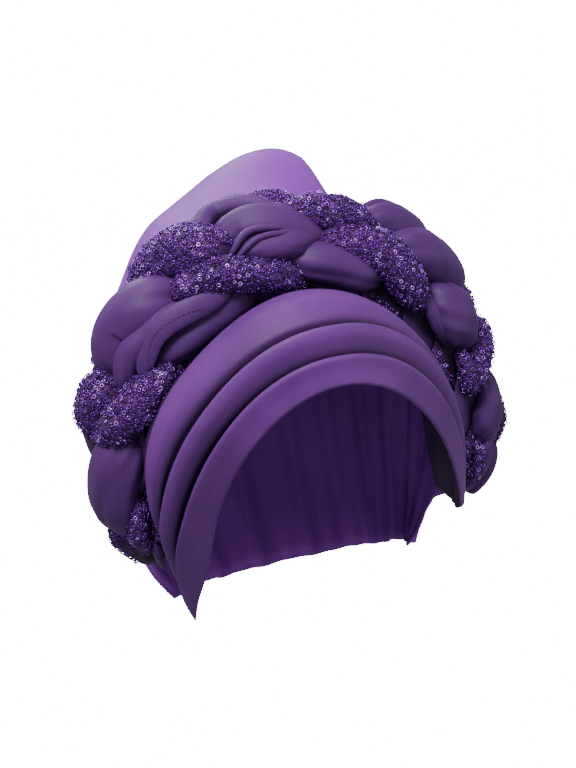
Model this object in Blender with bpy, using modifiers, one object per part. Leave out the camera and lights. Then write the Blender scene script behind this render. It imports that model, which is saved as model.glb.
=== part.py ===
"""A braided turban cap: a pleated front band, a thick four-strand braid over it and a puffed crown bag.

Metres, +Z up. The wearer faces -Y, and +X is the wearer's left. The origin is the middle of the
head opening, level with the ear tips. Every piece is laid out on stations along the braid's arch,
which runs from the wearer's right ear over the head to the left ear.
"""

import math

import bmesh
import bpy
import numpy as np

# Cloth, and the air between two strands, under the braid where the crown lines it, and between
# the crown's seam and the band's edge that lies under it
CLOTH = 0.0020
CLEARANCE = 0.0004
VALLEY_GAP = 0.0013
SEAM_LAP_GAP = 0.0010

# Face opening: the front edge of the band
OPENING_WIDTH = 0.150
OPENING_DEPTH = 0.090
FOREHEAD_HEIGHT = 0.115
EAR_TIP_DROP = 0.005
RIGHT_TIP_ANGLE = math.radians(93)
LEFT_TIP_ANGLE = math.radians(78)

# Braid: an arch of round strands laid in a rope
ARCH_WIDTH = 0.197
ARCH_HEIGHT = 0.104
ARCH_CENTRE_HEIGHT = 0.077
ARCH_TOP_SHIFT = 0.005
ARCH_SHOULDER = 0.07
ARCH_TOP_DEPTH = -0.023
ARCH_SIDE_DEPTH = 0.001
ARCH_END_ANGLE = math.radians(118)
BRAID_WIDTH = 0.062
BRAID_THICKNESS = 0.046
STRANDS = (
    # name, cloth
    ("sequin_strand_1", "sequin"),
    ("satin_strand_1", "satin"),
    ("sequin_strand_2", "sequin"),
    ("satin_strand_2", "satin"),
)
STRAND_CREASE = 0.30
STRAND_CORE = 0.05

# Crown bag, and the corner that is pinched up on the wearer's left
CROWN_WIDTH = 0.196
CROWN_HEIGHT = 0.220
CROWN_DEPTH = 0.118
CROWN_HEM_DROP = 0.006
SIDE_HEM_HEIGHT = 0.022
CORNER_RISE = 0.012
CORNER_X = 0.025
CORNER_SLOPES = (0.045, 0.010)
CORNER_SHARES = (0.55, 1.0, 0.3)

# Band: its pleats, its swell over the brow as a share of its width, and the directions under the
# braid, in degrees to the front, where its back edge and the crown's seam lie
PLEAT_HEIGHT = 0.0075
PLEAT_ROUNDNESS = 0.8
EAR_PLEAT_LOSS = 0.75
BAND_BULGE = 0.22
BULGE_LEAN = 1.1
BAND_SPREADS = (34, 12, -12)
SEAM_SPREAD = 5

# Mesh steps
SHELL_STATIONS = 30
STATIONS = 2 * SHELL_STATIONS
STRAND_POINTS = 9
VALLEY_STEPS = 7
PLEAT_STEPS = (0.0, 0.12, 0.40, 0.75, 0.95)

# Half the braid, from the top of the arch (share 0) to its end (share 1): section size as a share
# of the full one, how far its wide side leans back from the arch's own plane, and how far the
# crown's cloth wraps up its back, both in degrees
BRAID_SECTIONS = (
    # share, size, lean, wrap
    (0.00, 1.00, 37, 116),
    (0.30, 1.00, 42, 110),
    (0.50, 0.97, 50, 98),
    (0.75, 0.88, 62, 84),
    (0.90, 0.77, 72, 78),
    (1.00, 0.45, 80, 74),
)

# Turns that the rope has made by each share of its length, from the right ear to the left
BRAID_TWIST = (
    # share, turns
    (0.00, 0.28),
    (0.13, 0.64),
    (0.30, 1.04),
    (0.50, 1.52),
    (0.70, 2.12),
    (0.86, 2.72),
    (1.00, 3.20),
)

# Pleats of the band: where each fold lies between the front edge and the braid, at the forehead
# and at the ear tips, and its height as a share of the full pleat
PLEATS = (
    # forehead, ear tip, height
    (0.00, 0.00, 0.35),
    (0.20, 0.62, 0.85),
    (0.46, 0.82, 1.00),
    (0.74, 0.93, 0.90),
)

# Arches of the crown bag, from behind the braid to the nape hem, as shares of the crown's width,
# depth and height; the last two columns are the arch's ends, at the ears
CROWN_ARCHES = (
    # width, top depth, top height, end depth, end height
    (1.00, 0.10, 0.935, 0.40, 1.00),
    (0.94, 0.38, 1.000, 0.49, 0.85),
    (0.93, 0.66, 0.945, 0.53, 0.70),
    (0.90, 0.90, 0.760, 0.56, 0.50),
    (0.85, 1.00, 0.480, 0.57, 0.20),
    (0.79, 0.97, 0.200, 0.56, -0.05),
    (0.70, 0.83, 0.000, 0.52, -0.25),
)

# Colours of the cloths, with roughness and metallic
CLOTHS = {
    "satin": ((0.115, 0.035, 0.185, 1.0), 0.48, 0.0),
    "sequin": ((0.130, 0.030, 0.330, 1.0), 0.30, 0.35),
    "crown_satin": ((0.210, 0.085, 0.340, 1.0), 0.50, 0.0),
}

X = np.array((1.0, 0.0, 0.0))


def column(table, index, share):
    """One column of a table, read at a share with smooth turns between its rows."""
    rows = np.array(table, float)
    at = np.clip(share, rows[0, 0], rows[-1, 0])
    row = min(int(np.searchsorted(rows[:, 0], at, side="right")) - 1, len(rows) - 2)
    slopes = np.gradient(rows[:, index], rows[:, 0])
    width = rows[row + 1, 0] - rows[row, 0]
    t = (at - rows[row, 0]) / width
    ends = rows[row : row + 2, index]
    return (
        ends[0] * (1 + 2 * t) * (1 - t) ** 2
        + ends[1] * t * t * (3 - 2 * t)
        + width * (slopes[row] * t * (1 - t) ** 2 - slopes[row + 1] * t * t * (1 - t))
    )


def unit(vector):
    return vector / np.linalg.norm(vector)


def arch_front():
    """The direction out of the front of the plane that the braid's arch lies in."""
    rise = np.array((0.0, ARCH_TOP_DEPTH - ARCH_SIDE_DEPTH, ARCH_HEIGHT))
    return np.cross(X, unit(rise))


def arch_centre(angle):
    climb = (1 + math.cos(angle)) / 2
    side = ARCH_WIDTH / 2 * math.sin(angle) * (1 - ARCH_SHOULDER * climb) - ARCH_TOP_SHIFT * climb
    depth = ARCH_SIDE_DEPTH + (ARCH_TOP_DEPTH - ARCH_SIDE_DEPTH) * math.cos(angle)
    return np.array((side, depth, ARCH_CENTRE_HEIGHT + ARCH_HEIGHT * math.cos(angle)))


def arch_angles(count):
    """Station angles at even steps of length along the arch."""
    fine = np.linspace(-ARCH_END_ANGLE, ARCH_END_ANGLE, 400)
    points = np.array([arch_centre(angle) for angle in fine])
    length = np.concatenate(([0], np.cumsum(np.linalg.norm(np.diff(points, axis=0), axis=1))))
    return np.interp(np.linspace(0, length[-1], count), length, fine)


class Station:
    """One cross-section of the braid: an oval with its wide side along `wide`, away from the head."""

    def __init__(self, angle):
        self.angle = angle
        self.centre = arch_centre(angle)
        step = math.radians(0.5)
        along = unit(arch_centre(angle + step) - arch_centre(angle - step))
        self.front = arch_front()
        self.outward = np.cross(self.front, along)
        share = abs(angle) / ARCH_END_ANGLE
        lean = math.radians(column(BRAID_SECTIONS, 2, share))
        size = column(BRAID_SECTIONS, 1, share)
        self.wide = math.cos(lean) * self.outward - math.sin(lean) * self.front
        self.thick = math.sin(lean) * self.outward + math.cos(lean) * self.front
        self.wrap = column(BRAID_SECTIONS, 3, share)
        self.half_width = BRAID_WIDTH / 2 * size
        self.half_thickness = BRAID_THICKNESS / 2 * size

    def inside(self, turn, radius=1.0):
        """A point of the braid at a turn round its middle, at a share of the oval's radius."""
        return (
            self.centre
            + radius * self.half_width * math.cos(turn) * self.wide
            + radius * self.half_thickness * math.sin(turn) * self.thick
        )

    def beside(self, spread, gap):
        """A point off the oval by gap, in the direction of the head turned by spread degrees to the front."""
        spread = math.radians(spread)
        way = math.sin(spread) * self.front - math.cos(spread) * self.outward
        across = np.array((way @ self.wide, way @ self.thick))
        half = np.array((self.half_width, self.half_thickness)) + gap
        return self.centre + way / np.linalg.norm(across / half)


def front_edge(share):
    """The band's front edge, from the right ear tip (share -1) over the forehead to the left."""
    angle = share * (RIGHT_TIP_ANGLE if share < 0 else LEFT_TIP_ANGLE)
    low = math.cos(RIGHT_TIP_ANGLE)
    climb = (math.cos(angle) - low) / (1 - low)
    side = OPENING_WIDTH / 2 * math.sin(angle)
    depth = -OPENING_DEPTH * math.cos(angle)
    return np.array((side, depth, -EAR_TIP_DROP + (FOREHEAD_HEIGHT + EAR_TIP_DROP) * climb))


def through(points, share):
    """A smooth curve through points at even shares, read at a share from 0 to 1."""
    at = share * (len(points) - 1)
    row = min(int(at), len(points) - 2)
    t = at - row
    before = points[row - 1] if row else 2 * points[0] - points[1]
    after = points[row + 2] if row + 2 < len(points) else 2 * points[-1] - points[-2]
    first, last = points[row], points[row + 1]
    return 0.5 * (
        2 * first
        + (last - before) * t
        + (2 * before - 5 * first + 4 * last - after) * t * t
        + (3 * first - before - 3 * last + after) * t**3
    )


def pleat_height(share, folds):
    """Height of the pleated cloth: each pleat swells towards its fold and drops behind it."""
    for (start, _), (end, height) in zip(folds, folds[1:]):
        if share <= end:
            climb = math.sin(0.5 * math.pi * (share - start) / (end - start))
            return height * climb**PLEAT_ROUNDNESS
    last, height = folds[-1]
    return height * max(0.0, 1 - (share - last) / (1 - last)) ** 2


def band_section(station):
    """Points of the band's outer face at one station, from the front edge to the seam."""
    side = station.angle / ARCH_END_ANGLE
    edge = front_edge(side)
    under = [station.beside(spread, VALLEY_GAP + CLOTH + SEAM_LAP_GAP) for spread in BAND_SPREADS]
    contact = under[0]
    reach = contact - edge
    outward = unit(np.cross(reach, np.cross(edge, reach)))
    tip = abs(side) ** 3
    folds = [
        (
            forehead + (ear - forehead) * tip,
            height * PLEAT_HEIGHT * (1 - EAR_PLEAT_LOSS * tip),
        )
        for forehead, ear, height in PLEATS
    ]
    shares = []
    for (start, _), (end, _) in zip(folds, folds[1:]):
        shares += [start + (end - start) * step for step in PLEAT_STEPS]
    shares += [folds[-1][0], 0.5 * (folds[-1][0] + 1), 1.0]
    bulge = BAND_BULGE * np.linalg.norm(reach) * (1 - tip)
    points = []
    for share in shares:
        swell = bulge * math.sin(math.pi * share**BULGE_LEAN) + pleat_height(share, folds)
        points.append(edge + share * reach + swell * outward)
    return points + under[1:]


def corner(x):
    """The pinched corner's rise: a slow slope on the right of it and a steep one on the left."""
    slow, steep = CORNER_SLOPES
    away = (x - CORNER_X) / (slow if x < CORNER_X else steep)
    return CORNER_RISE * math.exp(-away * away)


def crown_arch(row, angle):
    width, top_depth, top_height, end_depth, end_height = row
    low = math.cos(ARCH_END_ANGLE)
    climb = (math.cos(angle) - low) / (1 - low)
    side = CROWN_WIDTH / 2 * width * math.sin(angle)
    depth = CROWN_DEPTH * (end_depth + (top_depth - end_depth) * climb)
    end = SIDE_HEM_HEIGHT * end_height
    top = -CROWN_HEM_DROP + (CROWN_HEIGHT + CROWN_HEM_DROP) * top_height
    return np.array((side, depth, end + (top - end) * climb))


def crown_section(station):
    """Points of the crown's outer face at one station, from the seam round the braid to the nape."""
    spreads = np.linspace(SEAM_SPREAD, -station.wrap, VALLEY_STEPS)
    valley = [station.beside(spread, VALLEY_GAP) for spread in spreads]
    bag = [crown_arch(row, station.angle) for row in CROWN_ARCHES]
    for point, share in zip(bag, CORNER_SHARES):
        point[2] += share * corner(point[0])
    guide = [valley[-1]] + bag
    steps = 2 * len(bag)
    return valley + [through(guide, step / steps) for step in range(1, steps + 1)]


def new_object(name, mesh, cloth, collection):
    for polygon in mesh.polygons:
        polygon.use_smooth = True
    mesh.materials.append(cloth_material(cloth))
    piece = bpy.data.objects.new(name, mesh)
    collection.objects.link(piece)
    return piece


def cloth_material(name):
    material = bpy.data.materials.get(name)
    if material:
        return material
    colour, roughness, metallic = CLOTHS[name]
    material = bpy.data.materials.new(name)
    material.use_nodes = True
    shader = material.node_tree.nodes["Principled BSDF"]
    shader.inputs["Base Color"].default_value = colour
    shader.inputs["Roughness"].default_value = roughness
    shader.inputs["Metallic"].default_value = metallic
    return material


def shell(name, sections, cloth, collection):
    """A cloth wall: an open surface lofted through sections, thickened inwards."""
    form = bmesh.new()
    rows = [[form.verts.new(point) for point in section] for section in sections]
    for first, second in zip(rows, rows[1:]):
        for k in range(len(first) - 1):
            form.faces.new((first[k], second[k], second[k + 1], first[k + 1]))
    mesh = bpy.data.meshes.new(name)
    form.to_mesh(mesh)
    form.free()
    piece = new_object(name, mesh, cloth, collection)
    wall = piece.modifiers.new("wall", "SOLIDIFY")
    wall.thickness = CLOTH
    wall.offset = -1
    return piece


def strand_outline():
    """One strand's section in the unit oval, as (turn from the strand's middle, radius): its core
    edge, one flat side, the round outer lobe and the other side."""
    half = math.pi / 4
    outline = [(0.0, STRAND_CORE)]
    for k in range(STRAND_POINTS):
        across = -1 + 2 * k / (STRAND_POINTS - 1)
        lobe = math.sqrt(max(0.0, 1 - across * across))
        outline.append((half * across, 1 - STRAND_CREASE * (1 - lobe)))
    return outline


def strand(name, number, stations, cloth, collection):
    """A strand of the rope, lofted round the braid's middle and capped at both ends."""
    outline = strand_outline()
    gap = CLEARANCE / 2 / (BRAID_THICKNESS / 2)
    form = bmesh.new()
    rings = []
    for k, station in enumerate(stations):
        share = k / (len(stations) - 1)
        turned = 2 * math.pi * column(BRAID_TWIST, 1, share)
        middle = turned - number * 2 * math.pi / len(STRANDS)
        out = gap * math.sqrt(2)
        ring = []
        for turn, radius in outline:
            u = out * math.cos(middle) + radius * math.cos(middle + turn)
            v = out * math.sin(middle) + radius * math.sin(middle + turn)
            reach = math.hypot(u, v)
            shrink = min(1.0, 1.0 / reach)
            ring.append(form.verts.new(station.inside(math.atan2(v, u), reach * shrink)))
        rings.append(ring)
    count = len(outline)
    for first, second in zip(rings, rings[1:]):
        for k in range(count):
            j = (k + 1) % count
            if k == 0:
                form.faces.new((first[k], first[j], second[j]))
                form.faces.new((first[k], second[j], second[k]))
            else:
                form.faces.new((first[k], first[j], second[k]))
                form.faces.new((first[j], second[j], second[k]))
    form.faces.new(list(reversed(rings[0])))
    form.faces.new(rings[-1])
    bmesh.ops.triangulate(form, faces=[face for face in form.faces if len(face.verts) > 3])
    bmesh.ops.recalc_face_normals(form, faces=form.faces)
    mesh = bpy.data.meshes.new(name)
    form.to_mesh(mesh)
    form.free()
    return new_object(name, mesh, cloth, collection)


def main():
    for thing in list(bpy.data.objects):
        bpy.data.objects.remove(thing)
    collection = bpy.data.collections.new("braided_turban_cap")
    bpy.context.scene.collection.children.link(collection)
    stations = [Station(angle) for angle in arch_angles(STATIONS + 1)]
    shell_stations = stations[:: STATIONS // SHELL_STATIONS]
    shell("front_band", [band_section(s) for s in shell_stations], "satin", collection)
    shell("crown", [crown_section(s) for s in shell_stations], "crown_satin", collection)
    for number, (name, cloth) in enumerate(STRANDS):
        strand(name, number, stations, cloth, collection)


main()
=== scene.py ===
"""The looks of a braided turban cap: satin pleats round the front opening, a braid of satin and
sequin strands over the top and a puffed satin crown. Metres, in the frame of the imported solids."""

import math

import bmesh
import bpy
import numpy as np
from mathutils import Matrix, Vector
from mathutils.bvhtree import BVHTree


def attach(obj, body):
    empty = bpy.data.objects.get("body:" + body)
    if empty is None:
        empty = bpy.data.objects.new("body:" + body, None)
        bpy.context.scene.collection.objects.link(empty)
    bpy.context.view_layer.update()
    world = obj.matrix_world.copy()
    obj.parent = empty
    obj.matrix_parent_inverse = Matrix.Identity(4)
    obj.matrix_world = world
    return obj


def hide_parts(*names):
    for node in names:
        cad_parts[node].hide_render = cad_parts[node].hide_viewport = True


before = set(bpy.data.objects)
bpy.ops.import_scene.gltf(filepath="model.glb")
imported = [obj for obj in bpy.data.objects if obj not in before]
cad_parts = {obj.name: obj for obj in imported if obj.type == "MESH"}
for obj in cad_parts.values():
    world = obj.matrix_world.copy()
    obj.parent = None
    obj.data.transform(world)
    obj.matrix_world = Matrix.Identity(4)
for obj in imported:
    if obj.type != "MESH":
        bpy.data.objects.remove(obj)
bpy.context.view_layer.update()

# The photograph's frame in pixels, and the camera's sensor and lens in millimetres
PHOTO_WIDTH = 576
PHOTO_HEIGHT = 768
SENSOR = 36
LENS = 133.6

# The photograph's view: its directions in degrees, its distance, and where it aims
VIEW_AZIMUTH = -14
VIEW_ELEVATION = 8
VIEW_ROLL = 10.3
VIEW_DISTANCE = 1.5
VIEW_HEIGHT = 0.100
VIEW_SHIFT = (-0.00425, 0.00561)

# Studio: the floor, how strongly floor, air and backdrop shine, and the soft lights
FLOOR_SIZE = 12
FLOOR_HEIGHT = -0.16
FLOOR_GLOW = 16
AIR_GLOW = 0.4
BACKDROP_GLOW = 40
LIGHTS = (
    # name, place, size, power
    ("key", (-0.5, -0.9, 1.5), 0.7, 42),
    ("fill", (1.3, -0.9, 0.3), 1.2, 7),
    ("rim", (-0.2, 1.0, 1.5), 0.8, 24),
)

# Colours, as a darker and a lighter tone where there are two
BAND_SATIN = ((0.104, 0.024, 0.182, 1), (0.146, 0.036, 0.246, 1))
# The strands' satin: the band's satin darkened, as painted shade on the braid
STRAND_SATIN_PAINTED_SHADE = ((0.062, 0.015, 0.112, 1), (0.088, 0.022, 0.155, 1))
# The crown's satin: the band's satin lightened, as painted light on the top of the cap
CROWN_SATIN_PAINTED_LIGHT = ((0.190, 0.032, 0.350, 1), (0.235, 0.044, 0.420, 1))
SATIN_SHEEN = (0.62, 0.35, 0.90, 1)
NET_GROUND = ((0.026, 0.006, 0.045, 1), (0.050, 0.010, 0.100, 1))
NET_THREAD = (0.095, 0.024, 0.140, 1)
# Painted shade of the sequin net in its creases
NET_FOLD_SHADE = (0.010, 0.002, 0.018, 1)
FILM_DEEP = ((0.052, 0.006, 0.130, 1), (0.215, 0.032, 0.480, 1))
FILM_BRIGHT = (0.62, 0.26, 0.95, 1)
# How dark the painted shade in the cloth's creases is, as a share of its darker tone
FOLD_SHADE = 0.28

# How fine the patterns in the cloth are, as scales of their nodes
SATIN_TONE_SCALE = 22
SATIN_GRAIN_SCALE = 1700
SATIN_KNIT_SCALE = 900
NET_CELL_SCALE = 800
NET_TONE_SCALE = 60

# Front opening: the front edge of the band
OPENING_WIDTH = 0.150
OPENING_DEPTH = 0.090
OPENING_HEIGHT = 0.115
TIP_DROP = 0.005
RIGHT_TIP_ANGLE = math.radians(93)
LEFT_TIP_ANGLE = math.radians(78)

# Arch that the braid follows
ARCH_WIDTH = 0.197
ARCH_HEIGHT = 0.104
ARCH_CENTRE_HEIGHT = 0.077
ARCH_TOP_SHIFT = 0.005
ARCH_SHOULDER = 0.07
ARCH_TOP_DEPTH = -0.023
ARCH_SIDE_DEPTH = 0.001
ARCH_END_ANGLE = math.radians(118)
FINE_STATIONS = 2001
TANGENT_STEP = math.radians(0.5)

# Braid
BRAID_WIDTH = 0.062
BRAID_THICKNESS = 0.046
STRANDS = 4
ARCH_LENGTH = 0.416
BRAID_RADIUS = 0.028

# Rope of each strand under its lobes, in shares of the braid's oval. It is sunk between two turns
STRAND_CORE = 0.05
ROPE_STATIONS = 241
ROPE_ACROSS = 17
ROPE_RADIUS = 0.90
ROPE_SUNK_RADIUS = 0.66
ROPE_SUNK_ZONE = (6, 178)
ROPE_SUNK_EDGE = 16
# How deep in a fold the sunk rope counts: it is darkened there as painted shade and keeps no sequins
ROPE_SUNK_FOLD = 0.9
ROPE_CREASE = 0.24
ROPE_END = 0.02
ROPE_END_SIZE = 0.25

# Lobes, their ends, and those along the back of the braid
LOBE_STATIONS = 61
LOBE_AROUND = 60
PATH_STEPS = 24
LOBE_TUCK = 0.12
LOBE_TAPER = 3.4
LOBE_END_SIZE = 0.002
LOBE_DIVE = 0.010
LOBE_DIVE_POWER = 2.5
# Share up a lobe's side below which it counts as in a fold, and the share over which that fades: it
# darkens the underside as painted shade and keeps sequins off
LOBE_FLANK = (0.42, 0.5)
BACK_TURN = -4
BACK_REACH = 0.055
BACK_SWING = 24
BACK_WIDTH = 0.028
RIM_TUCK = 0.1
RIM_DIVE = 0.004
FAR_SEED = 50
BACK_SEED = 80

# Creases along a lobe, in three sets of waves across it, and the soft lumps between them
LOBE_CREASE = 0.0023
CREASE_WAVES = (1.3, 2.2, 3.4)
CREASE_LEAN = 1.5
CREASE_START = 0.3
CREASE_PINCH = 0.7
CREASE_FLANK = 2
CREASE_SHARPNESS = 3
# How much the creases darken the cloth, as painted shade
CREASE_SHADE = 0.5
CREASE_FOLD = 0.8
LUMP_SIZE = 0.030
LUMP_SHARE = 0.12

# Stations and turns at which the braid is looked for in the photograph, and what it costs a
# place to face away from it
PHOTO_STATIONS = 301
PHOTO_TURN = 3.0
HIDDEN_COST = 1e6

# How far the band's front edge stands before the solid's, at the top and above the right tip
EDGE_LIPS = (0.0030, 0.0065)
EDGE_LIP_POWER = 4
TIP_LIP_ZONE = (-0.84, 0.16)

# Stitches
STITCH_PITCH = 0.0026
STITCH_LENGTH = 0.0018
STITCH_WIDTH = 0.0005
STITCH_SIDES = 6
STITCH_FLATNESS = 0.7
STITCH_PROFILE = (
    # along, thickness
    (-1.0, 0.15),
    (-0.75, 0.80),
    (0.0, 1.00),
    (0.75, 0.80),
    (1.0, 0.15),
)
RIM_STITCH_LIFT = 0.0002
HEM_STITCH_LIFT = 0.0003
HEM_STITCH_ROW = -3

# Crown bag and its pinched corner. A zone is a place across the cap and its reach
CLOTH_STATIONS = 181
VALLEY_ROWS = 7
CROWN_STEPS = 7
CROWN_WIDTH = 0.196
CROWN_HEIGHT = 0.220
CROWN_DEPTH = 0.118
CROWN_HEM_DROP = 0.006
CROWN_WALL = 0.002
CROWN_INSIDE = (0, 0.03, 0.09)
SIDE_HEM_HEIGHT = 0.022
CORNER_RISE = 0.012
CORNER_X = 0.037
CORNER_SLOPES = (0.042, 0.005)
CORNER_SHARES = (0.55, 1.0, 0.3)
CROWN_SAG = 0.004
SHOULDER_ZONE = (-0.070, 0.022)
SAG_ZONE = (-0.030, 0.022)
CROWN_DIP = 0.009
DIP_ZONE = (0.058, 0.014)
VALLEY_GAP = 0.0013
SEAM_SPREAD = 5

# Gathers up from the crown's hem, short ones all round and long ones at the back, and its drape
HEM_REACHES = 5
HEM_GATHERS = 22
HEM_GATHER_DEPTH = 0.0011
LONG_REACHES = 4.4
LONG_GATHERS = 9
LONG_GATHER_DEPTH = 0.0022
LONG_SWAY = (1.4, 2.3)
LONG_LEAN = 1.2
FULL_FOLD_DEPTH = 0.05
DRAPE_DEPTH = 0.0009
DRAPE_SIZE = 0.07
DRAPE_SEED = 12
RIPPLE_WAVES = 9
RIPPLE_SIZES = (0.7, 1.5)
RIPPLE_CALM = 4

# Band
BAND_STEPS = 5
PLEAT_HEIGHT = 0.0062
TIP_PLEAT_LOSS = 0.40
TIP_POWER = 1.6
BAND_BULGE = 0.22
BULGE_POWER = 3
BULGE_LEAN = 1.1
BAND_SPREADS = (58, 30, 5)
BAND_SIDE_SPREAD = 26
SIDE_SPREAD_ZONE = (-0.66, 0.28)
FOLD_ROLL = 0.0016
FOLD_TUCK = 0.0060
FOLD_SINK = 0.0030
FOLD_DEEP = 0.020
CLOTH = 0.0012
SEAM_LAP_GAP = 0.0010
SEAM_STEPS = (0.3, 0.6, 1.0)

# Sequins
SEQUIN_RADIUS = 0.00135
SEQUIN_HOLE = 0.00048
SEQUIN_HEIGHT = 0.00034
SEQUIN_SIDES = 8
SEQUIN_PITCH = 0.0020
SEQUIN_TRIES = 6
SEQUIN_FOLD_LIMIT = 0.6
SEQUIN_STATIONS = 401
SEQUIN_TILT = 0.30
SEQUIN_LIFTS = (0.0002, 0.0010)
SEQUIN_SEED = 40

# Where no sequins go: this near the crown's and the band's cloth in degrees, and this deep in
# another lobe that is no further away than the reach
CROWN_LAP = 4
BAND_LAP = 30
COVER_REACH = 0.02
COVER_DEPTH = 0.0006

# Half the braid from the top of the arch to its end: size of the section, how far its wide side
# leans back and how far the crown's cloth wraps up behind it, in degrees
BRAID_SECTIONS = (
    # share, size, lean, wrap
    (0.00, 1.00, 37, 116),
    (0.30, 1.00, 42, 110),
    (0.50, 0.97, 50, 98),
    (0.75, 0.88, 62, 84),
    (0.90, 0.77, 72, 78),
    (1.00, 0.45, 80, 74),
)

# Turns of the rope by each share of its length, from its right end to its left
BRAID_TWIST = (
    # share, turns
    (0.00, 0.28),
    (0.13, 0.64),
    (0.30, 1.04),
    (0.50, 1.52),
    (0.70, 2.12),
    (0.86, 2.72),
    (1.00, 3.20),
)

# Lobes in which the strands show, each along three places seen in the photograph's pixels, with
# its width, its depth and its rise over the rope. Strands count from the first sequin strand
LOBES = (
    # strand, start x, y, middle x, y, end x, y, width, depth, rise
    (3, 158, 546, 166, 568, 182, 580, 0.014, 0.009, 0.000),
    (0, 144, 498, 138, 533, 150, 560, 0.021, 0.012, 0.001),
    (3, 148, 432, 151, 470, 144, 502, 0.014, 0.009, -0.003),
    (1, 136, 440, 108, 490, 113, 538, 0.044, 0.018, 0.006),
    (2, 104, 378, 86, 405, 88, 440, 0.028, 0.014, 0.004),
    (2, 93, 451, 123, 419, 179, 377, 0.0260, 0.014, 0.006),
    (3, 103, 372, 107, 326, 172, 288, 0.037, 0.018, 0.005),
    (3, 162, 371, 210, 338, 268, 307, 0.034, 0.014, 0.000),
    (3, 117, 396, 127, 350, 194, 306, 0.021, 0.011, 0.001),
    (0, 120, 288, 154, 249, 228, 249, 0.030, 0.015, 0.004),
    (0, 169, 304, 208, 278, 308, 290, 0.0240, 0.013, 0.003),
    (1, 206, 230, 246, 210, 334, 238, 0.033, 0.016, 0.000),
    (1, 232, 256, 264, 243, 322, 242, 0.022, 0.012, 0.002),
    (1, 292, 270, 336, 269, 384, 293, 0.031, 0.014, 0.002),
    (2, 282, 201, 334, 202, 388, 232, 0.024, 0.012, 0.002),
    (2, 330, 232, 391, 255, 422, 314, 0.0260, 0.013, 0.004),
    (3, 368, 204, 408, 216, 438, 240, 0.026, 0.014, 0.006),
    (3, 400, 242, 444, 256, 474, 284, 0.032, 0.016, 0.006),
    (3, 452, 276, 462, 312, 463, 352, 0.034, 0.016, 0.005),
    (3, 430, 288, 440, 318, 451, 354, 0.014, 0.009, -0.001),
    (0, 484, 310, 487, 350, 474, 392, 0.020, 0.012, 0.002),
    (0, 466, 352, 473, 376, 468, 400, 0.016, 0.010, 0.001),
    (1, 494, 362, 499, 406, 481, 446, 0.027, 0.014, 0.001),
    (2, 485, 446, 479, 468, 469, 487, 0.016, 0.011, 0.001),
)

# Rolled and folded edges of the satin cloth on its lobes, placed in the same way
RIMS = (
    # strand, start x, y, middle x, y, end x, y, width, depth, rise
    (1, 195, 234, 210, 197, 276, 199, 0.0080, 0.0060, 0.0010),
    (1, 187, 236, 197, 206, 214, 192, 0.0060, 0.0050, -0.0005),
    (1, 232, 252, 248, 234, 284, 228, 0.0035, 0.0025, 0.0030),
    (1, 238, 256, 256, 240, 290, 233, 0.0030, 0.0020, 0.0032),
    (3, 144, 370, 160, 330, 226, 300, 0.0130, 0.0018, 0.0012),
)

# Lobes of the strands towards both ends of the braid, where the photograph doesn't show them
FAR_LOBES = (
    # strand, start share, start turn, end share, end turn, width, depth, rise
    (0, 0.690, 20, 0.800, 56, 0.026, 0.013, -0.001),
    (2, 0.870, 40, 0.940, 90, 0.024, 0.012, 0.000),
    (3, 0.935, 60, 1.000, 120, 0.018, 0.010, 0.000),
    (0, 0.000, 40, 0.075, 95, 0.024, 0.012, -0.002),
    (1, 0.900, 120, 0.985, 170, 0.016, 0.010, -0.001),
)

# Pleats of the band, as shares of the way from the front edge to the braid
PLEATS = (
    # top, side tips, height
    (0.00, 0.00, 0.35),
    (0.13, 0.42, 0.85),
    (0.36, 0.82, 1.00),
    (0.93, 0.965, 0.80),
)

# A pleat's section. The first points lie along from its start by shares of its run in, the last
# ones from its end by shares of its reach, roll and tuck. All lie out by shares of the height,
# roll and sink, and crease says how deep in a fold they are, which darkens the cloth there as
# painted shade.
PLEAT_START = (
    # run in, height, sink, crease
    (0.08, 0.00, -0.8, 1.0),
    (0.24, 0.10, 0.0, 0.9),
    (0.45, 0.45, 0.0, 0.3),
)
FIRST_PLEAT_START = (
    # run in, height, sink, crease
    (0.35, 0.62, 0.0, 0.0),
)
PLEAT_END = (
    # reach, roll, tuck, height, roll, sink, crease
    (-0.30, 0.0, 0.0, 0.88, 0.00, 0.0, 0.0),
    (0.0, -0.6, 0.0, 1.00, 0.00, 0.0, 0.0),
    (0.0, 0.6, 0.0, 1.00, -0.45, 0.0, 0.0),
    (0.0, 0.8, 0.0, 1.00, -1.20, 0.0, 0.5),
    (0.0, 0.1, 0.0, 1.00, -2.00, 0.0, 1.0),
    (0.0, 0.0, -0.6, 0.20, 0.00, -0.5, 1.0),
    (0.0, 0.0, -0.9, 0.00, 0.00, -1.0, 1.0),
)

# Arches of the crown bag from behind the braid to its hem, as shares of its width, depth and
# height
CROWN_ARCHES = (
    # width, top depth, top height, end depth, end height
    (1.00, 0.10, 0.935, 0.40, 1.00),
    (0.94, 0.38, 1.000, 0.49, 0.85),
    (0.93, 0.66, 0.945, 0.53, 0.70),
    (0.90, 0.90, 0.760, 0.56, 0.50),
    (0.85, 1.00, 0.480, 0.57, 0.20),
    (0.79, 0.97, 0.200, 0.56, -0.05),
    (0.70, 0.83, 0.000, 0.52, -0.25),
)

X = np.array((1.0, 0.0, 0.0))


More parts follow.
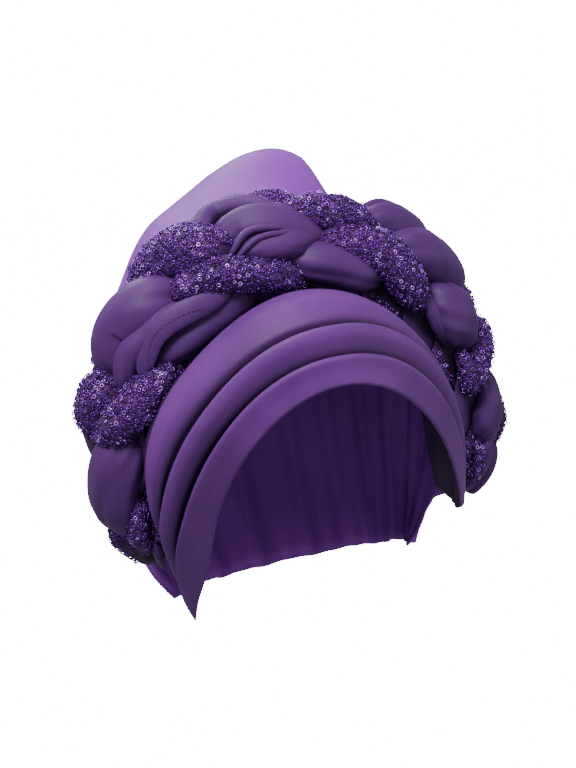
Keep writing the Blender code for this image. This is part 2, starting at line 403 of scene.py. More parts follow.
def column(table, index, share):
    """One column of a table, read at shares with smooth turns between its rows."""
    rows = np.array(table, float)
    at = np.clip(share, rows[0, 0], rows[-1, 0])
    row = np.clip(np.searchsorted(rows[:, 0], at, side="right") - 1, 0, len(rows) - 2)
    slopes = np.gradient(rows[:, index], rows[:, 0])
    width = rows[row + 1, 0] - rows[row, 0]
    t = (at - rows[row, 0]) / width
    rise = slopes[row] * t * (1 - t) ** 2 - slopes[row + 1] * t * t * (1 - t)
    start = rows[row, index] * (1 + 2 * t) * (1 - t) ** 2
    end = rows[row + 1, index] * t * t * (3 - 2 * t)
    return start + end + width * rise


def unit(vectors):
    return vectors / np.linalg.norm(vectors, axis=-1, keepdims=True)


def run_lengths(line):
    """How far along a line of points each of them lies."""
    return np.concatenate(([0], np.cumsum(np.linalg.norm(np.diff(line, axis=0), axis=1))))


def hill(x, place, reach):
    """A smooth hill of height 1 at a place, nearly flat beyond twice its reach."""
    away = (x - place) / reach
    return np.exp(-away * away)


def oval(turn):
    """The radius of the braid's full section at a turn."""
    return np.hypot(BRAID_WIDTH / 2 * np.cos(turn), BRAID_THICKNESS / 2 * np.sin(turn))


def arch_line(angle):
    climb = (1 + np.cos(angle)) / 2
    side = ARCH_WIDTH / 2 * np.sin(angle) * (1 - ARCH_SHOULDER * climb) - ARCH_TOP_SHIFT * climb
    depth = ARCH_SIDE_DEPTH + (ARCH_TOP_DEPTH - ARCH_SIDE_DEPTH) * np.cos(angle)
    return np.stack((side, depth, ARCH_CENTRE_HEIGHT + ARCH_HEIGHT * np.cos(angle)), axis=-1)


class Arch:
    """Sections of the braid at shares of its length, from its right end over the top."""

    def __init__(self, share):
        fine = np.linspace(-ARCH_END_ANGLE, ARCH_END_ANGLE, FINE_STATIONS)
        length = run_lengths(arch_line(fine))
        self.share = np.asarray(share, float)
        self.angle = np.interp(self.share * length[-1], length, fine)
        self.centre = arch_line(self.angle)
        along = arch_line(self.angle + TANGENT_STEP) - arch_line(self.angle - TANGENT_STEP)
        rise = np.array((0.0, ARCH_TOP_DEPTH - ARCH_SIDE_DEPTH, ARCH_HEIGHT))
        self.front = np.cross(X, unit(rise))
        self.outward = np.cross(self.front, unit(along))
        half = np.abs(self.angle) / ARCH_END_ANGLE
        lean = np.radians(column(BRAID_SECTIONS, 2, half))[:, None]
        self.wide = np.cos(lean) * self.outward - np.sin(lean) * self.front
        self.thick = np.sin(lean) * self.outward + np.cos(lean) * self.front
        self.wrap = column(BRAID_SECTIONS, 3, half)
        self.size = column(BRAID_SECTIONS, 1, half)

    def inside(self, turn, radius):
        """Points at a turn round the braid's middle and a share of its oval's radius."""
        wide = radius * BRAID_WIDTH / 2 * self.size[:, None] * np.cos(turn)
        thick = radius * BRAID_THICKNESS / 2 * self.size[:, None] * np.sin(turn)
        return (
            self.centre[:, None]
            + wide[..., None] * self.wide[:, None]
            + thick[..., None] * self.thick[:, None]
        )

    def beside(self, spread, gap):
        """Points a gap off the oval, spread degrees to the front of its inner side."""
        spread = np.radians(np.broadcast_to(spread, self.share.shape))[:, None]
        way = np.sin(spread) * self.front - np.cos(spread) * self.outward
        wide = (way * self.wide).sum(axis=1) / (BRAID_WIDTH / 2 * self.size + gap)
        thick = (way * self.thick).sum(axis=1) / (BRAID_THICKNESS / 2 * self.size + gap)
        return self.centre + way / np.hypot(wide, thick)[:, None]


def through(points, steps):
    """A smooth curve through points, with a number of steps from each to the next."""
    points = np.asarray(points)
    ends = np.concatenate((2 * points[:1] - points[1:2], points, 2 * points[-1:] - points[-2:-1]))
    curve = []
    for k in range(len(points) - 1):
        before, first, last, after = ends[k : k + 4]
        for t in np.arange(steps) / steps:
            curve.append(
                0.5
                * (
                    2 * first
                    + (last - before) * t
                    + (2 * before - 5 * first + 4 * last - after) * t * t
                    + (3 * first - before - 3 * last + after) * t**3
                )
            )
    return np.array(curve + [points[-1]])


def ripple(points, size, seed):
    """Soft unevenness between about -1 and 1, with waves of about a given size."""
    rng = np.random.default_rng(seed)
    total = np.zeros(points.shape[:-1])
    for _ in range(RIPPLE_WAVES):
        wave = unit(rng.normal(size=3)) * 2 * math.pi / (size * rng.uniform(*RIPPLE_SIZES))
        total += np.sin(points @ wave + rng.uniform(0, 2 * math.pi))
    return total / RIPPLE_CALM


def grid_mesh(name, points, closed=False, fold=None):
    """A mesh through a grid of points, closed across its columns and at its ends if asked. Its fold
    attribute says how deep in a crease of the cloth each point lies, from 0 to 1, and the cloth's
    colour darkens with it as painted shade."""
    rows, columns = points.shape[:2]
    index = np.arange(rows * columns).reshape(rows, columns)
    points = points.reshape(-1, 3)
    caps = []
    if closed:
        first, last = index[0], index[-1]
        middles = np.stack((points[first].mean(axis=0), points[last].mean(axis=0)))
        points = np.concatenate((points, middles))
        for ring, middle in ((first, rows * columns), (last[::-1], rows * columns + 1)):
            caps += [(int(a), int(b), middle) for a, b in zip(ring, np.roll(ring, -1))]
        index = np.concatenate((index, index[:, :1]), axis=1)
    corners = (index[:-1, :-1], index[1:, :-1], index[1:, 1:], index[:-1, 1:])
    faces = np.stack(corners, axis=-1).reshape(-1, 4).tolist()
    mesh = bpy.data.meshes.new(name)
    mesh.from_pydata(points.tolist(), [], faces + caps)
    depth = np.zeros(len(points))
    if fold is not None:
        depth[: rows * columns] = np.broadcast_to(fold, (rows, columns)).ravel()
    mesh.attributes.new("fold", "FLOAT", "POINT").data.foreach_set("value", depth)
    return mesh


def new_piece(name, mesh, finish, node=None):
    mesh.shade_smooth()
    mesh.materials.append(finish.material)
    piece = bpy.data.objects.new(name, mesh)
    bpy.context.scene.collection.objects.link(piece)
    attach(piece, "root")
    if node:
        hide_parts(node)
    return piece


def thicken(piece, thickness):
    wall = piece.modifiers.new("wall", "SOLIDIFY")
    wall.thickness = thickness
    wall.offset = -1


class Value:
    """A number or colour that varies over a surface. Arithmetic with it adds Math nodes."""

    def __init__(self, nodes, socket):
        self.nodes = nodes
        self.socket = socket

    def maths(self, operation, first, second):
        settings = {"operation": operation}
        return self.nodes.node("ShaderNodeMath", settings, {0: first, 1: second})

    def __add__(self, other):
        return self.maths("ADD", self, other)

    def __sub__(self, other):
        return self.maths("SUBTRACT", self, other)

    def __rsub__(self, other):
        return self.maths("SUBTRACT", other, self)

    def __mul__(self, other):
        return self.maths("MULTIPLY", self, other)

    __radd__ = __add__
    __rmul__ = __mul__


class Nodes:
    """The shader nodes of a material or of the studio's air."""

    def __init__(self, holder):
        holder.use_nodes = True
        self.tree = holder.node_tree

    def node(self, kind, settings=None, inputs=None, output=0):
        """Adds a node with its settings, then the values or links of its sockets."""
        node = self.tree.nodes.new(kind)
        for name, value in (settings or {}).items():
            setattr(node, name, value)
        for name, value in (inputs or {}).items():
            self.join(value, node.inputs[name])
        return Value(self, node.outputs[output])

    def join(self, value, socket):
        if isinstance(value, Value):
            self.tree.links.new(value.socket, socket)
        else:
            socket.default_value = value


class Finish(Nodes):
    """A material on a Principled shader, whose fixed values are set on the shader itself."""

    def __init__(self, name, fixed):
        self.material = bpy.data.materials.new(name)
        super().__init__(self.material)
        self.shader = self.tree.nodes["Principled BSDF"]
        for socket, value in fixed.items():
            self.shader.inputs[socket].default_value = value
        self.place = self.node("ShaderNodeTexCoord", output="Object")

    def feed(self, socket, value):
        self.join(value, self.shader.inputs[socket])

    def attribute(self, name):
        """A number that the mesh carries, such as how deep in a fold a point lies."""
        return self.node("ShaderNodeAttribute", {"attribute_name": name}, output="Fac")

    def noise(self, scale, detail=2.0):
        inputs = {"Vector": self.place, "Scale": scale, "Detail": detail}
        return self.node("ShaderNodeTexNoise", None, inputs)

    def blend(self, share, first, second):
        inputs = {0: share, 6: first, 7: second}
        return self.node("ShaderNodeMix", {"data_type": "RGBA"}, inputs, output=2)

    def spread_out(self, value, low, high):
        """A value stretched so that low becomes 0 and high becomes 1, and held there beyond."""
        inputs = {0: value, 1: low, 2: high, 3: 0.0, 4: 1.0}
        return self.node("ShaderNodeMapRange", None, inputs)

    def bump(self, height, strength, distance):
        inputs = {"Height": height, "Strength": strength, "Distance": distance}
        self.feed("Normal", self.node("ShaderNodeBump", None, inputs))


def satin(name, dark, light):
    """Matte satin jersey: soft tone changes, a fine knit, a pale sheen along its folds and painted
    shade that darkens it in its creases.
    """
    fixed = {"Specular IOR Level": 0.22, "Sheen Weight": 0.06, "Sheen Tint": SATIN_SHEEN}
    cloth = Finish(name, fixed)
    tone = cloth.spread_out(cloth.noise(SATIN_TONE_SCALE, 3), low=0.3, high=0.7)
    colour = cloth.blend(tone, dark, light)
    # Painted shade: the colour darkens towards this in the creases, by the fold attribute
    shadow = tuple(FOLD_SHADE * part for part in dark[:3]) + (1,)
    cloth.feed("Base Color", cloth.blend(cloth.attribute("fold"), colour, shadow))
    grain = cloth.noise(SATIN_GRAIN_SCALE)
    cloth.feed("Roughness", 0.46 + 0.12 * grain)
    knit = cloth.node(
        "ShaderNodeTexWave",
        {"wave_type": "BANDS", "bands_direction": "DIAGONAL"},
        {
            "Vector": cloth.place,
            "Scale": SATIN_KNIT_SCALE,
            "Distortion": 3.0,
            "Detail": 1.0,
            "Detail Scale": 2.0,
        },
    )
    cloth.bump(0.5 * knit + 0.6 * grain, strength=0.25, distance=0.0002)
    return cloth


def sequin_mesh(name):
    """The mesh that carries the sequins: brownish purple net, darkened in its creases as painted
    shade.
    """
    net = Finish(name, {"Specular IOR Level": 0.2, "Sheen Weight": 0.04})
    cells = net.node(
        "ShaderNodeTexVoronoi",
        {"feature": "DISTANCE_TO_EDGE"},
        {"Vector": net.place, "Scale": NET_CELL_SCALE},
    )
    thread = 1 - net.spread_out(cells, low=0.05, high=0.22)
    patch = net.spread_out(net.noise(NET_TONE_SCALE, 3), low=0.35, high=0.65)
    cord = net.blend(thread, net.blend(patch, *NET_GROUND), NET_THREAD)
    # Painted shade: the net darkens in its creases
    net.feed("Base Color", net.blend(net.attribute("fold"), cord, NET_FOLD_SHADE))
    net.feed("Roughness", 0.72 - 0.2 * thread)
    net.bump(thread, strength=0.5, distance=0.0003)
    return net


def sequin_shine(name):
    """The sequins' film: violet, glossy, each ring with a tone of its own."""
    film = Finish(name, {"Metallic": 0.7, "Coat Weight": 0.35, "Coat Roughness": 0.08})
    tone = film.attribute("tone")
    deep = film.blend(film.spread_out(tone, low=0.0, high=0.6), *FILM_DEEP)
    bright = film.spread_out(tone, low=0.84, high=0.95)
    film.feed("Base Color", film.blend(bright, deep, FILM_BRIGHT))
    film.feed("Roughness", 0.30 - 0.12 * tone)
    return film


def front_edge(side):
    """The band's front edge, from side -1 at its right tip over the top to 1 at its left."""
    angle = side * np.where(side < 0, RIGHT_TIP_ANGLE, LEFT_TIP_ANGLE)
    low = math.cos(RIGHT_TIP_ANGLE)
    climb = (np.cos(angle) - low) / (1 - low)
    height = -TIP_DROP + (OPENING_HEIGHT + TIP_DROP) * climb
    return np.stack(
        (OPENING_WIDTH / 2 * np.sin(angle), -OPENING_DEPTH * np.cos(angle), height), axis=-1
    )


def band_outline(width, tip, lip):
    """The pleated section between the front edge and the braid, as distances along and out and
    depths in a crease. The depths darken the band's cloth as painted shade."""
    fade = 1 - TIP_PLEAT_LOSS * tip
    rows = [
        ((top + (side - top) * tip) * width, height * PLEAT_HEIGHT * fade)
        for top, side, height in PLEATS
    ]
    roll = FOLD_ROLL * fade
    tuck = FOLD_TUCK * fade
    sink = FOLD_SINK * fade
    line = [(-lip, 0.0, 0.0)]
    for (start, _), (end, height) in zip(rows, rows[1:]):
        reach = end - start
        deep = min(reach, FOLD_DEEP)
        for run, up, down, crease in PLEAT_START if start > 0 else FIRST_PLEAT_START:
            line.append((start + run * deep, up * height + down * sink, crease))
        for reaches, rolls, tucks, up, over, down, crease in PLEAT_END:
            along = end + reaches * reach + rolls * roll + tucks * tuck
            line.append((along, up * height + over * roll + down * sink, crease))
    last = rows[-1][0]
    line += [(last + part * (width - last), -part * sink, 1.0) for part in SEAM_STEPS]
    return np.array(line)


def front_band(finish):
    arch = Arch(np.linspace(0, 1, CLOTH_STATIONS))
    side = arch.angle / ARCH_END_ANGLE
    edge = front_edge(side)
    wider = BAND_SIDE_SPREAD * hill(side, *SIDE_SPREAD_ZONE)
    gap = VALLEY_GAP + CROWN_WALL + SEAM_LAP_GAP
    under = [arch.beside(spread + wider, gap) for spread in BAND_SPREADS]
    sections = []
    creases = []
    for k, share in enumerate(side):
        reach = under[0][k] - edge[k]
        width = np.linalg.norm(reach)
        outward = unit(np.cross(reach, np.cross(edge[k], reach)))
        top, right = EDGE_LIPS
        lip = top * (1 - abs(share) ** EDGE_LIP_POWER) + right * hill(share, *TIP_LIP_ZONE)
        line = band_outline(width, abs(share) ** TIP_POWER, lip)
        swell = BAND_BULGE * width * (1 - abs(share) ** BULGE_POWER)
        swell = swell * np.sin(math.pi * np.clip(line[:, 0] / width, 0, 1) ** BULGE_LEAN)
        across = (line[:, 0] / width)[:, None]
        points = edge[k] + across * reach + (line[:, 1] + swell)[:, None] * outward
        sections.append(through(np.vstack((points, under[1][k], under[2][k])), BAND_STEPS))
        # The creases' depths, and full depth under the braid, darken the cloth as painted shade
        creases.append(through(np.append(line[:, 2], (1, 1))[:, None], BAND_STEPS)[:, 0])
    mesh = grid_mesh("front_band_cloth", np.array(sections), fold=np.clip(creases, 0, 1))
    band = new_piece("front_band_cloth", mesh, finish, "front_band")
    thicken(band, CLOTH)
    return band


def stitches(name, line, along, outward, finish):
    """A row of small thread stitches laid on a line of points."""
    reach = run_lengths(line)
    at = np.arange(STITCH_PITCH, reach[-1] - STITCH_PITCH, STITCH_PITCH)
    middle, along, outward = (
        np.stack([np.interp(at, reach, part[:, k]) for k in range(3)], axis=-1)[:, None, None]
        for part in (line, along, outward)
    )
    side = unit(np.cross(along, outward))
    t, thick = np.array(STITCH_PROFILE).T[:, None, :, None, None]
    thick = STITCH_WIDTH / 2 * thick
    around = np.radians(np.arange(0, 360, 360 // STITCH_SIDES))[None, None, :, None]
    rings = middle + t * STITCH_LENGTH / 2 * along
    rings = rings + thick * (np.cos(around) * side + STITCH_FLATNESS * np.sin(around) * outward)
    mesh = joined(name, [(stitch, None) for stitch in rings])
    return new_piece(name, mesh, finish)


def rim_stitches(name, path, rise, finish):
    """Stitches along a folded edge of a strand's cloth."""
    metric = np.array((ARCH_LENGTH, BRAID_RADIUS))
    curve = through(np.array(path) * metric, PATH_STEPS) / metric
    arch = Arch(curve[:, 0])
    turn = curve[:, 1:]
    line = arch.inside(turn, 1 + rise / oval(turn))[:, 0]
    outward = unit(line - arch.centre)
    stitches(name, line, unit(np.gradient(line, axis=0)), outward, finish)


def corner(x):
    """How far the crown's top line stands over its plain arch at a place across the cap."""
    swell = hill(x, *SHOULDER_ZONE) - hill(x, *SAG_ZONE)
    swell = CROWN_SAG * swell - CROWN_DIP * hill(x, *DIP_ZONE)
    return CORNER_RISE * hill(x, CORNER_X, np.where(x < CORNER_X, *CORNER_SLOPES)) + swell


def bag_rows(arch):
    """Rows of points on the crown bag, from behind the braid to its hem."""
    low = math.cos(ARCH_END_ANGLE)
    climb = (np.cos(arch.angle) - low) / (1 - low)
    rows = []
    for number, (width, top_depth, top_height, end_depth, end_height) in enumerate(CROWN_ARCHES):
        end = SIDE_HEM_HEIGHT * end_height
        top = -CROWN_HEM_DROP + (CROWN_HEIGHT + CROWN_HEM_DROP) * top_height
        side = CROWN_WIDTH / 2 * width * np.sin(arch.angle)
        depth = CROWN_DEPTH * (end_depth + (top_depth - end_depth) * climb)
        height = end + (top - end) * climb
        if number < len(CORNER_SHARES):
            height = height + CORNER_SHARES[number] * corner(side)
        rows.append(np.stack((side, depth, height), axis=-1))
    return rows


def crown_folds(points, share):
    """How far the gathers and the drape lift the crown's cloth, whose last row is its hem."""
    back = np.clip(points[..., 1] / FULL_FOLD_DEPTH, 0, 1)
    from_hem = np.linspace(1, 0, points.shape[1])[None]
    turn = share[:, None] * 2 * math.pi
    short = np.sin(turn * HEM_GATHERS) * np.exp(-((from_hem * HEM_REACHES) ** 2))
    sway, swings = LONG_SWAY
    lean = sway * np.sin(swings * turn) + LONG_LEAN * from_hem
    long = np.sin(turn * LONG_GATHERS + lean) * np.exp(-((from_hem * LONG_REACHES) ** 2))
    drape = DRAPE_DEPTH * back * ripple(points, DRAPE_SIZE, DRAPE_SEED)
    return HEM_GATHER_DEPTH * short + LONG_GATHER_DEPTH * back * long + drape


def crown(finish):
    arch = Arch(np.linspace(0, 1, CLOTH_STATIONS))
    steps = np.linspace(0, 1, VALLEY_ROWS)
    spreads = [SEAM_SPREAD + (-arch.wrap - SEAM_SPREAD) * step for step in steps]
    rows = [arch.beside(spread, VALLEY_GAP) for spread in spreads] + bag_rows(arch)
    points = np.array([through(line, CROWN_STEPS) for line in zip(*rows)])
    outward = unit(np.cross(np.gradient(points, axis=0), np.gradient(points, axis=1)))
    outward *= np.sign((outward * (points - CROWN_INSIDE)).sum())
    points = points + crown_folds(points, arch.share)[..., None] * outward
    hem = points[:, HEM_STITCH_ROW]
    out = outward[:, HEM_STITCH_ROW]
    along = unit(np.gradient(hem, axis=0))
    lift = hem + HEM_STITCH_LIFT * out
    stitches("crown_hem_stitches", lift, along, out, finish)
    mesh = grid_mesh("crown_cloth", points)
    piece = new_piece("crown_cloth", mesh, finish, "crown")
    thicken(piece, CLOTH)
    return piece


def outward_tube(points, fold):
    """A closed tube's grid of points and folds, turned so that its faces look out."""
    middle = points.mean(axis=1, keepdims=True)
    across = np.roll(points, -1, axis=1)[:-1] - points[:-1]
    normal = np.cross(points[1:] - points[:-1], across)
    fold = np.broadcast_to(fold, points.shape[:2])
    if (normal * (points - middle)[:-1]).sum() > 0:
        return points, fold
    return points[:, ::-1], fold[:, ::-1]


def rope(number):
    """The strand's own course round the braid, below its lobes, as a closed tube."""
    arch = Arch(np.linspace(0, 1, ROPE_STATIONS))
    across = np.sin(np.linspace(-math.pi / 2, math.pi / 2, ROPE_ACROSS))
    middle = 2 * math.pi * (column(BRAID_TWIST, 1, arch.share) - number / STRANDS)[:, None]
    turn = middle + math.pi / STRANDS * across[None]
    low, high = ROPE_SUNK_ZONE
    facing = np.degrees(turn) % 360
    sunk = np.clip(np.minimum(facing - low, high - facing) / ROPE_SUNK_EDGE, 0, 1)
    radius = ROPE_RADIUS - (ROPE_RADIUS - ROPE_SUNK_RADIUS) * sunk
    radius = radius - ROPE_CREASE * (1 - np.sqrt(np.clip(1 - across**2, 0, 1)))[None]
    ends = np.clip(np.minimum(arch.share, 1 - arch.share) / ROPE_END, 0, 1)[:, None]
    rounding = np.sqrt(1 - (1 - ends) ** 2)
    radius = radius * (ROPE_END_SIZE + (1 - ROPE_END_SIZE) * rounding)
    core = arch.inside(middle, np.full_like(middle, STRAND_CORE))
    # The sunk part is darkened as painted shade through its fold
    fold = np.concatenate((np.zeros_like(middle), ROPE_SUNK_FOLD * sunk), axis=1)
    return outward_tube(np.concatenate((core, arch.inside(turn, radius)), axis=1), fold)


class Photo:
    """Places on the braid that show at pixels of the photograph, as shares and turns."""

    def __init__(self):
        self.share = np.linspace(0, 1, PHOTO_STATIONS)
        self.turn = np.radians(np.arange(0, 360, PHOTO_TURN))
        arch = Arch(self.share)
        turn = np.broadcast_to(self.turn, (len(self.share), len(self.turn)))
        points = arch.inside(turn, np.ones_like(turn))
        normal = np.cross(np.gradient(points, axis=0), np.gradient(points, axis=1))
        normal *= np.sign((normal * (points - arch.centre[:, None])).sum(axis=-1, keepdims=True))
        across, upright, back, eye = (np.array(vector) for vector in view_axes())
        way = points - eye
        scale = PHOTO_HEIGHT * LENS / SENSOR / -(way @ back)
        self.x = PHOTO_WIDTH / 2 + scale * (way @ across)
        self.y = PHOTO_HEIGHT / 2 - scale * (way @ upright)
        self.hidden = HIDDEN_COST * ((normal @ back) <= 0)

    def place(self, x, y):
        cost = (self.x - x) ** 2 + (self.y - y) ** 2 + self.hidden
        station, step = np.unravel_index(np.argmin(cost), cost.shape)
        return self.share[station], self.turn[step]

    def path(self, row):
        return [self.place(x, y) for x, y in (row[0:2], row[2:4], row[4:6])]


def drawn_out(path, tuck):
    """Even steps along a smooth line through places on the braid, laid flat in metres, and beyond
    both its ends by a share of its length."""
    metric = np.array((ARCH_LENGTH, BRAID_RADIUS))
    curve = through(np.array(path) * metric, PATH_STEPS)
    length = np.linalg.norm(np.diff(curve, axis=0), axis=1).sum()
    first = curve[0] + unit(curve[0] - curve[2]) * tuck * length
    last = curve[-1] + unit(curve[-1] - curve[-3]) * tuck * length
    curve = np.vstack((first, curve, last))
    reach = run_lengths(curve)
    at = np.linspace(0, 1, LOBE_STATIONS) * reach[-1]
    return np.stack([np.interp(at, reach, curve[:, k]) for k in (0, 1)], axis=-1)


def lobe(path, width, depth, rise, seed, tuck=LOBE_TUCK, dive=LOBE_DIVE, crease=LOBE_CREASE):
    """A padded lobe along places on the braid, each a share and a turn. Its ends dive in."""
    rng = np.random.default_rng(seed)
    curve = drawn_out(path, tuck)
    along = unit(np.gradient(curve, axis=0))
    across = np.stack((-along[:, 1], along[:, 0]), axis=-1)
    t = np.linspace(0, 1, LOBE_STATIONS)[:, None]
    around = np.linspace(0, 2 * math.pi, LOBE_AROUND, endpoint=False)[None]
    end = np.abs(2 * t - 1)
    taper = np.clip(1 - end**LOBE_TAPER, LOBE_END_SIZE, 1) ** 0.5
    side = width / 2 * taper * np.cos(around)
    place = curve[:, None] + side[..., None] * across[:, None]
    share = np.clip(place[..., 0] / ARCH_LENGTH, 0, 1)
    turn = place[..., 1] / BRAID_RADIUS
    out = rise - depth + depth * taper * np.sin(around) - dive * end**LOBE_DIVE_POWER
    deep = 0
    for waves in CREASE_WAVES:
        phase = rng.uniform(0, 2 * math.pi) + rng.uniform(-CREASE_LEAN, CREASE_LEAN) * t
        reach = np.clip(np.sin(2 * math.pi * (t + rng.random())) + CREASE_START, 0, 1)
        pinch = (CREASE_PINCH * reach + end**2) * np.clip(np.sin(around) * CREASE_FLANK, 0, 1)
        valley = 1 - np.abs(np.sin(waves * np.pi * side / width + phase))
        valley = valley**CREASE_SHARPNESS * pinch
        out = out - crease / waves * valley
        # The creases' darkening of the cloth is painted shade
        deep = deep + CREASE_SHADE * valley / waves * min(1, crease / LOBE_CREASE)
        wave = 2 * math.pi * rng.normal(size=2) / LUMP_SIZE
        out = out + LUMP_SHARE * crease * np.sin(place @ wave + phase)
    arch = Arch(share.ravel())
    radius = (1 + out / oval(turn)).reshape(-1, 1)
    points = arch.inside(turn.reshape(-1, 1), radius).reshape(LOBE_STATIONS, LOBE_AROUND, 3)
    # Painted shade: the lobe's underside and its creases darken through its fold
    start, fade = LOBE_FLANK
    fold = np.clip((start - np.sin(around)) / fade, 0, 1)
    return outward_tube(points, np.clip(fold + CREASE_FOLD * deep, 0, 1))


def back_lobes(number):
    """Lobes along the back of the braid, where the strand comes round above the crown."""
    share = np.linspace(0, 1, FINE_STATIONS)
    turned = column(BRAID_TWIST, 1, share) - number / STRANDS
    found = []
    for whole in range(math.floor(turned[0]), math.ceil(turned[-1]) + 1):
        crossing = whole + BACK_TURN / 360
        if turned[0] < crossing < turned[-1]:
            middle = float(np.interp(crossing, turned, share))
            ends = [(middle + k * BACK_REACH, BACK_TURN + k * BACK_SWING) for k in (-1, 1)]
            found.append([(place, math.radians(turn)) for place, turn in ends])
    return found


def joined(name, grids):
    """One mesh of several closed tubes that lie over each other."""
    form = bmesh.new()
    for points, fold in grids:
        part = grid_mesh(name, points, closed=True, fold=fold)
        form.from_mesh(part)
        bpy.data.meshes.remove(part)
    mesh = bpy.data.meshes.new(name)
    form.to_mesh(mesh)
    form.free()
    return mesh


def strand_tubes(number, photo):
    """The rope of a strand and its lobes, then the rims of its cloth."""
    tubes = [rope(number)]
    for seed, (owner, *row) in enumerate(LOBES):
        if owner == number:
            tubes.append(lobe(photo.path(row), *row[6:], seed))
    for seed, (owner, *row) in enumerate(FAR_LOBES):
        if owner == number:
            path = [(row[0], math.radians(row[1])), (row[2], math.radians(row[3]))]
            tubes.append(lobe(path, *row[4:], FAR_SEED + seed))
    for seed, path in enumerate(back_lobes(number)):
        tubes.append(lobe(path, BACK_WIDTH, BACK_WIDTH / 2, 0.0, BACK_SEED + seed))
    for owner, *row in RIMS:
        if owner == number:
            path = photo.path(row)
            tubes.append(lobe(path, *row[6:], 0, RIM_TUCK, RIM_DIVE, crease=0.0))
    return tubes


def strand(name, tubes, finish, node):
    piece = new_piece(name, joined(name, tubes), finish, node)
    return piece


def triangles(piece):
    """Corners, normals, areas and folds of a mesh's triangles."""
    mesh = piece.data
    mesh.calc_loop_triangles()
    points = np.empty(len(mesh.vertices) * 3)
    mesh.vertices.foreach_get("co", points)
    points = points.reshape(-1, 3)
    index = np.empty(len(mesh.loop_triangles) * 3, int)
    mesh.loop_triangles.foreach_get("vertices", index)
    corners = points[index.reshape(-1, 3)]
    cross = np.cross(corners[:, 1] - corners[:, 0], corners[:, 2] - corners[:, 0])
    size = np.linalg.norm(cross, axis=1)
    folds = np.empty(len(mesh.vertices))
    mesh.attributes["fold"].data.foreach_get("value", folds)
    return corners, cross / size[:, None], size / 2, folds[index.reshape(-1, 3)].mean(axis=1)


def tube_tree(tube):
    mesh = grid_mesh("tube", tube[0], closed=True)
    form = bmesh.new()
    form.from_mesh(mesh)
    tree = BVHTree.FromBMesh(form)
    form.free()
    bpy.data.meshes.remove(mesh)
    return tree


def scattered(net, rng):
    """Spots a pitch apart on the open surface of a net, and the directions it faces there."""
    corners, normals, areas, folds = triangles(net)
    tries = int(areas.sum() / SEQUIN_PITCH**2 * SEQUIN_TRIES)
    open_areas = areas * (folds < SEQUIN_FOLD_LIMIT)
    picks = rng.choice(len(areas), size=tries, p=open_areas / open_areas.sum())
    first, second = np.sort(rng.random((2, tries, 1)), axis=0)
    weights = (first, second - first, 1 - second)
    spots = sum(weight * corners[picks, k] for k, weight in enumerate(weights))
    taken = {}
    chosen = []
    for number, point in enumerate(spots):
        key = tuple(np.floor(point / SEQUIN_PITCH).astype(int))
        near = (
            other
            for i in (-1, 0, 1)
            for j in (-1, 0, 1)
            for k in (-1, 0, 1)
            for other in taken.get((key[0] + i, key[1] + j, key[2] + k), ())
        )
        if any(((point - other) ** 2).sum() < SEQUIN_PITCH**2 for other in near):
            continue
        taken.setdefault(key, []).append(point)
        chosen.append(number)
    return spots[chosen], normals[picks[chosen]]


def uncovered(spots, trees):
    """Which spots on the braid lie neither under the crown or the band nor inside another tube."""
    arch = Arch(np.linspace(0, 1, SEQUIN_STATIONS))
    station = np.argmin(((spots[:, None] - arch.centre[None]) ** 2).sum(axis=-1), axis=1)
    way = spots - arch.centre[station]
    front = (way * arch.front).sum(axis=1)
    inward = -(way * arch.outward[station]).sum(axis=1)
    spread = np.degrees(np.arctan2(front, inward))
    shown = ~((spread > -arch.wrap[station] + CROWN_LAP) & (spread < BAND_LAP))
    for tree in trees:
        for number in np.flatnonzero(shown):
            spot = Vector(spots[number])
            near, normal, _, _ = tree.find_nearest(spot, COVER_REACH)
            if near and (spot - near).dot(normal) < -COVER_DEPTH:
                shown[number] = False
    return shown


def sequins(name, net, trees, finish, seed):
    """Ring sequins laid over a strand where it shows, each tipped a little its own way."""
    rng = np.random.default_rng(seed)
    spots, ups = scattered(net, rng)
    shown = uncovered(spots, trees)
    spots, ups = spots[shown], ups[shown]
    count = len(spots)
    up = unit(ups + rng.normal(scale=SEQUIN_TILT, size=(count, 3)))
    side = unit(np.cross(up, rng.normal(size=(count, 3))))
    other = np.cross(up, side)
    centre = spots + rng.uniform(*SEQUIN_LIFTS, size=(count, 1)) * ups
    turn = np.linspace(0, 2 * math.pi, SEQUIN_SIDES, endpoint=False)[None, :, None]
    profile = (
        (SEQUIN_HOLE, 0.0),
        ((SEQUIN_HOLE + SEQUIN_RADIUS) / 2, SEQUIN_HEIGHT),
        (SEQUIN_RADIUS, 0.0),
    )
    rings = [
        centre[:, None]
        + radius * (np.cos(turn) * side[:, None] + np.sin(turn) * other[:, None])
        + height * up[:, None]
        for radius, height in profile
    ]
    vertices = np.stack(rings, axis=2).reshape(-1, 3)
    ring = np.arange(SEQUIN_SIDES * 3).reshape(SEQUIN_SIDES, 3)
    ring = np.concatenate((ring, ring[:1]))
    ring = np.concatenate((ring, ring[:, :1]), axis=1)
    quads = np.stack((ring[:-1, :-1], ring[1:, :-1], ring[1:, 1:], ring[:-1, 1:]), axis=-1)
    steps = np.arange(count)[:, None, None] * SEQUIN_SIDES * 3
    faces = (quads.reshape(-1, 4)[None] + steps).reshape(-1, 4)
    mesh = bpy.data.meshes.new(name)
    mesh.from_pydata(vertices.tolist(), [], faces.tolist())
    tone = mesh.attributes.new("tone", "FLOAT", "POINT")
    tone.data.foreach_set("value", np.repeat(rng.random(count), SEQUIN_SIDES * 3))
    return new_piece(name, mesh, finish)


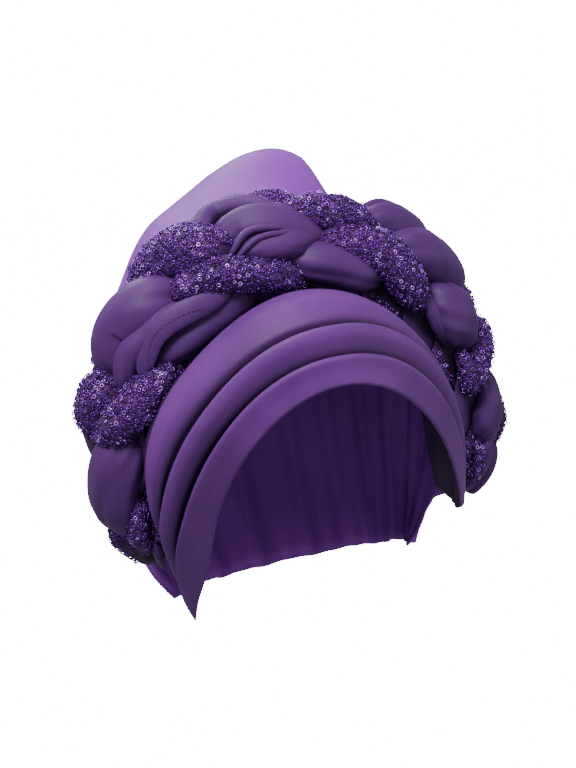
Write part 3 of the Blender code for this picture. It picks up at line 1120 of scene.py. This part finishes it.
def view_axes():
    """The photograph's view, from the front right and a little above, with the cap tipped: its
    directions across, upright and back, and the place of the lens."""
    azimuth = math.radians(VIEW_AZIMUTH)
    elevation = math.radians(VIEW_ELEVATION)
    roll = math.radians(VIEW_ROLL)
    level = math.cos(elevation)
    back = Vector((math.sin(azimuth) * level, -math.cos(azimuth) * level, math.sin(elevation)))
    right = Vector((math.cos(azimuth), math.sin(azimuth), 0))
    up = back.cross(right)
    across = math.cos(roll) * right - math.sin(roll) * up
    upright = math.sin(roll) * right + math.cos(roll) * up
    target = Vector((0, 0, VIEW_HEIGHT)) + VIEW_SHIFT[0] * across + VIEW_SHIFT[1] * upright
    return across, upright, back, target + VIEW_DISTANCE * back


def camera():
    across, upright, back, place = view_axes()
    eye = bpy.data.objects.new("camera", bpy.data.cameras.new("camera"))
    bpy.context.scene.collection.objects.link(eye)
    turn = Matrix((across, upright, back)).transposed().to_4x4()
    eye.matrix_world = Matrix.Translation(place) @ turn
    eye.data.sensor_fit = "VERTICAL"
    eye.data.sensor_height = SENSOR
    eye.data.lens = LENS
    eye.data.clip_end = 20
    bpy.context.scene.camera = eye


def soft_light(name, place, size, power):
    lamp = bpy.data.lights.new(name, "AREA")
    lamp.size = size
    lamp.energy = power
    holder = bpy.data.objects.new(name, lamp)
    bpy.context.scene.collection.objects.link(holder)
    holder.location = place
    aim = Vector((0, 0, VIEW_HEIGHT)) - Vector(place)
    holder.rotation_euler = aim.to_track_quat("-Z", "Y").to_euler()


def studio():
    """A pale floor and soft lights."""
    bpy.ops.mesh.primitive_plane_add(size=FLOOR_SIZE, location=(0, 0, FLOOR_HEIGHT))
    floor = bpy.context.active_object
    floor.name = "floor"
    white = (1, 1, 1, 1)
    fixed = {
        "Roughness": 0.9,
        "Base Color": white,
        "Emission Color": white,
        "Emission Strength": FLOOR_GLOW,
    }
    floor.data.materials.append(Finish("floor_paint", fixed).material)
    floor.visible_diffuse = False
    floor.visible_glossy = False
    world = bpy.data.worlds.new("studio")
    bpy.context.scene.world = world
    air = Nodes(world)
    light = air.node("ShaderNodeBackground", None, {"Color": white, "Strength": AIR_GLOW})
    backdrop = air.node("ShaderNodeBackground", None, {"Strength": BACKDROP_GLOW})
    seen = air.node("ShaderNodeLightPath", output="Is Camera Ray")
    mix = air.node("ShaderNodeMixShader", None, {0: seen, 1: light, 2: backdrop})
    air.join(mix, air.tree.nodes["World Output"].inputs["Surface"])
    for name, place, size, power in LIGHTS:
        soft_light(name, place, size, power)


def main():
    camera()
    studio()
    cloth = satin("satin", *BAND_SATIN)
    # The strands wear a darker copy of the band's satin: painted shade
    strand_cloth_painted_shade = satin("strand_satin", *STRAND_SATIN_PAINTED_SHADE)
    # The crown wears a lighter copy of the band's satin: painted light
    crown_cloth = satin("crown_satin", *CROWN_SATIN_PAINTED_LIGHT)
    net = sequin_mesh("sequin_mesh")
    film = sequin_shine("sequin_film")
    front_band(cloth)
    crown(crown_cloth)
    photo = Photo()
    tubes = [strand_tubes(number, photo) for number in range(STRANDS)]
    strands = (
        ("sequin_strand_1", net, "sequin_mesh"),
        ("satin_strand_1", strand_cloth_painted_shade, "satin"),
        ("sequin_strand_2", net, "sequin_mesh"),
        ("satin_strand_2", strand_cloth_painted_shade, "satin"),
    )
    bodies = [
        strand(name + "_body", group, finish, name)
        for group, (name, finish, slot) in zip(tubes, strands)
    ]
    for number, row in ((1, RIMS[0]), (2, RIMS[4])):
        name = f"satin_strand_{number}_stitches"
        rim_stitches(name, photo.path(row[1:]), row[-1] + RIM_STITCH_LIFT, strand_cloth_painted_shade)
    trees = [tube_tree(tube) for group in tubes for tube in group]
    for number in (0, 2):
        name = bodies[number].name.replace("body", "sequins")
        sequins(name, bodies[number], trees, film, SEQUIN_SEED + number)


main()
